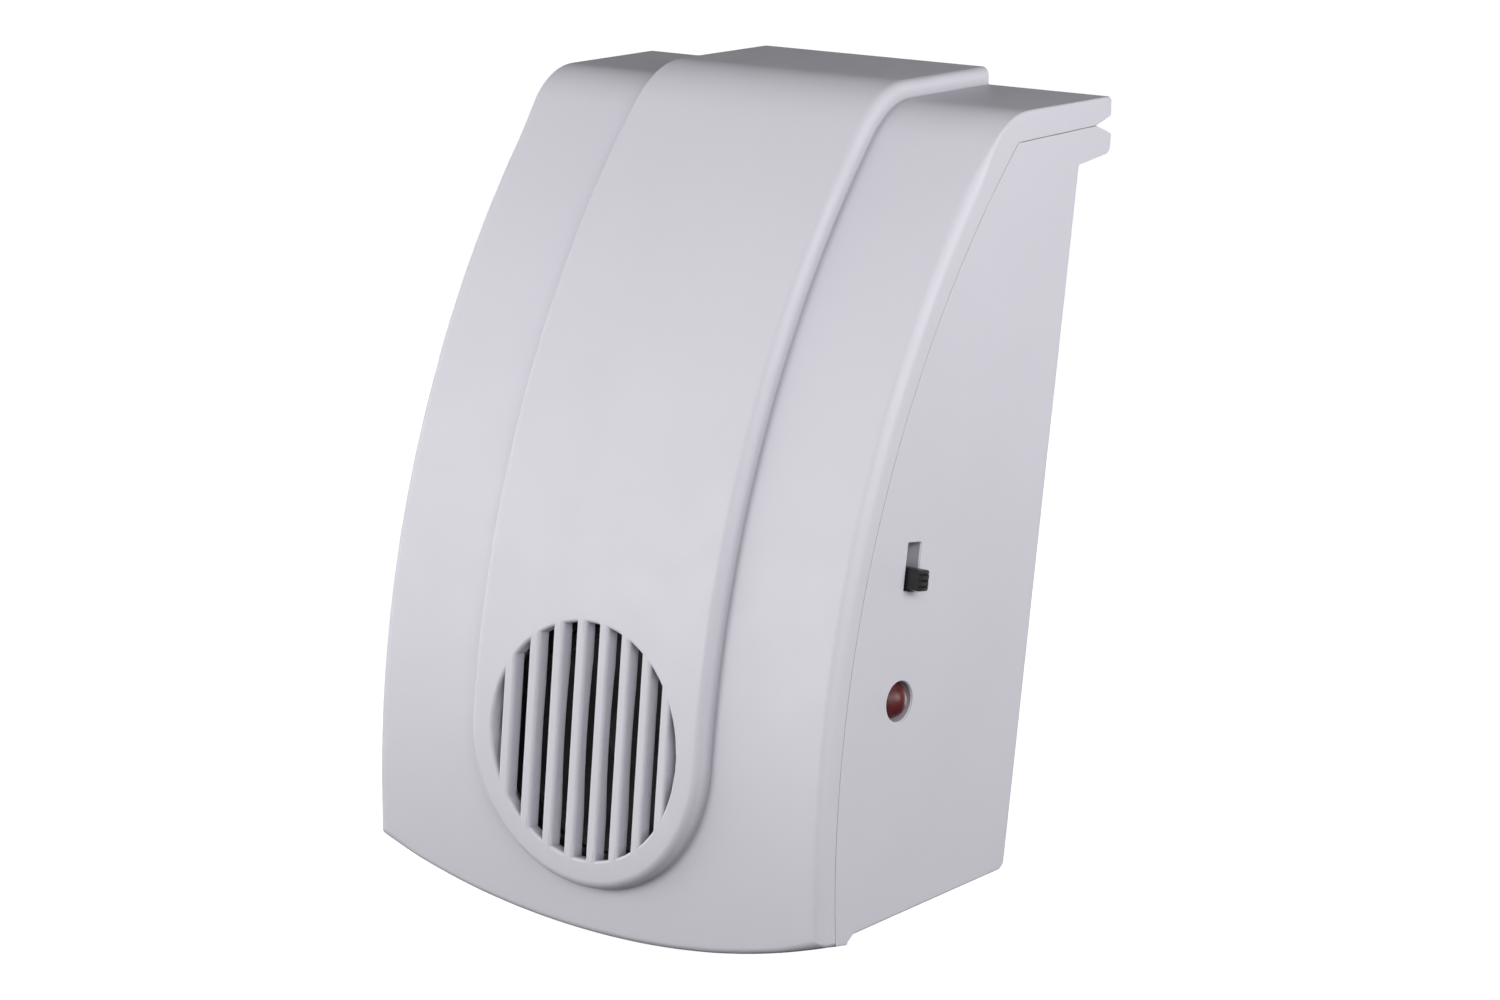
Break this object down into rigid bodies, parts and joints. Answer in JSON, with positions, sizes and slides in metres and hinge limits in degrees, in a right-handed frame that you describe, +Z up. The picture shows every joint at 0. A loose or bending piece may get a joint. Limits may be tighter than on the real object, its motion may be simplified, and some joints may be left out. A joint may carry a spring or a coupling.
{
  "type": "ultrasonic pest repeller",
  "caption": "Plug-in wall unit with a curved front cover, round slotted grille, ultrasonic transducer, side slide switch and red indicator light.",
  "frame": {"origin": "outer face of the back wall, midway between the two plug blades", "axes": "+Y out of the back wall into the socket, +Z up along the back wall, +X to the right of a person who faces the unit"},
  "size_m": [0.0772, 0.0586, 0.1145],
  "materials": {
    "casing": "pale lilac-white moulded ABS, satin",
    "knob_plastic": "near-black moulded plastic",
    "red_lens": "dark red tinted epoxy lens",
    "brass": "plain brass",
    "steel": "zinc-plated steel",
    "black_plastic": "black moulded plastic",
    "cone_paper": "black pressed paper",
    "white_ceramic": "unglazed piezo ceramic",
    "orange_ceramic": "dipped ceramic coating",
    "capacitor_box": "moulded box, yellow-brown",
    "capacitor_sleeve": "dark blue shrink sleeve",
    "component_glass": "clear glass tube",
    "resistor_body": "lacquered beige body",
    "ferrite": "sintered dark grey ferrite",
    "copper_wire": "copper, enamelled on the winding",
    "board": "green lacquered glass-fibre laminate",
    "wire_black": "black wire insulation",
    "wire_red": "red wire insulation"
  },
  "bodies": {
    "unit": {"blade_clamp": "black_plastic", "board_screw_1": "steel", "board_screw_2": "steel", "board_screw_3": "steel", "board_screw_4": "steel", "case_screw_1": "steel", "case_screw_2": "steel", "case_screw_3": "steel", "case_screw_4": "steel", "circuit_board": "board", "clamp_screw_left": "steel", "clamp_screw_right": "steel", "coil_core": "ferrite", "coil_winding": "copper_wire", "driver_transistor": "black_plastic", "film_capacitor": "capacitor_box", "filter_capacitor": "capacitor_sleeve", "front_cover": "casing", "fuse": "component_glass", "led_lead_1": "steel", "led_lead_2": "steel", "led_lens": "red_lens", "mains_wire_left": "wire_black", "mains_wire_right": "wire_red", "oscillator_chip": "black_plastic", "piezo_ceramic": "white_ceramic", "piezo_plate": "brass", "plug_blade_left": "brass", "plug_blade_right": "brass", "rear_housing": "casing", "rectifier_diode_1": "black_plastic", "rectifier_diode_2": "black_plastic", "rectifier_diode_3": "black_plastic", "rectifier_diode_4": "black_plastic", "resistor_1": "resistor_body", "resistor_2": "resistor_body", "resistor_3": "resistor_body", "resistor_4": "resistor_body", "resistor_5": "resistor_body", "switch_body": "black_plastic", "switch_frame": "steel", "switch_pin_1": "brass", "switch_pin_2": "brass", "switch_pin_3": "brass", "timing_capacitor_1": "orange_ceramic", "timing_capacitor_2": "orange_ceramic", "transducer_cap": "black_plastic", "transducer_cone": "cone_paper", "transducer_frame": "black_plastic", "transducer_lug_left": "brass", "transducer_lug_right": "brass", "transducer_screw_left": "steel", "transducer_screw_right": "steel", "transducer_wire_left": "wire_black", "transducer_wire_right": "wire_red", "zener_diode": "component_glass"},
    "switch_slider": {"switch_knob": "knob_plastic", "switch_contact": "copper_wire"}
  },
  "joints": [
    {"name": "switch_slide", "type": "slide", "parent": "unit", "child": "switch_slider", "axis": [0, 0, 1], "range_m": [0, 0.0029]}
  ]
}
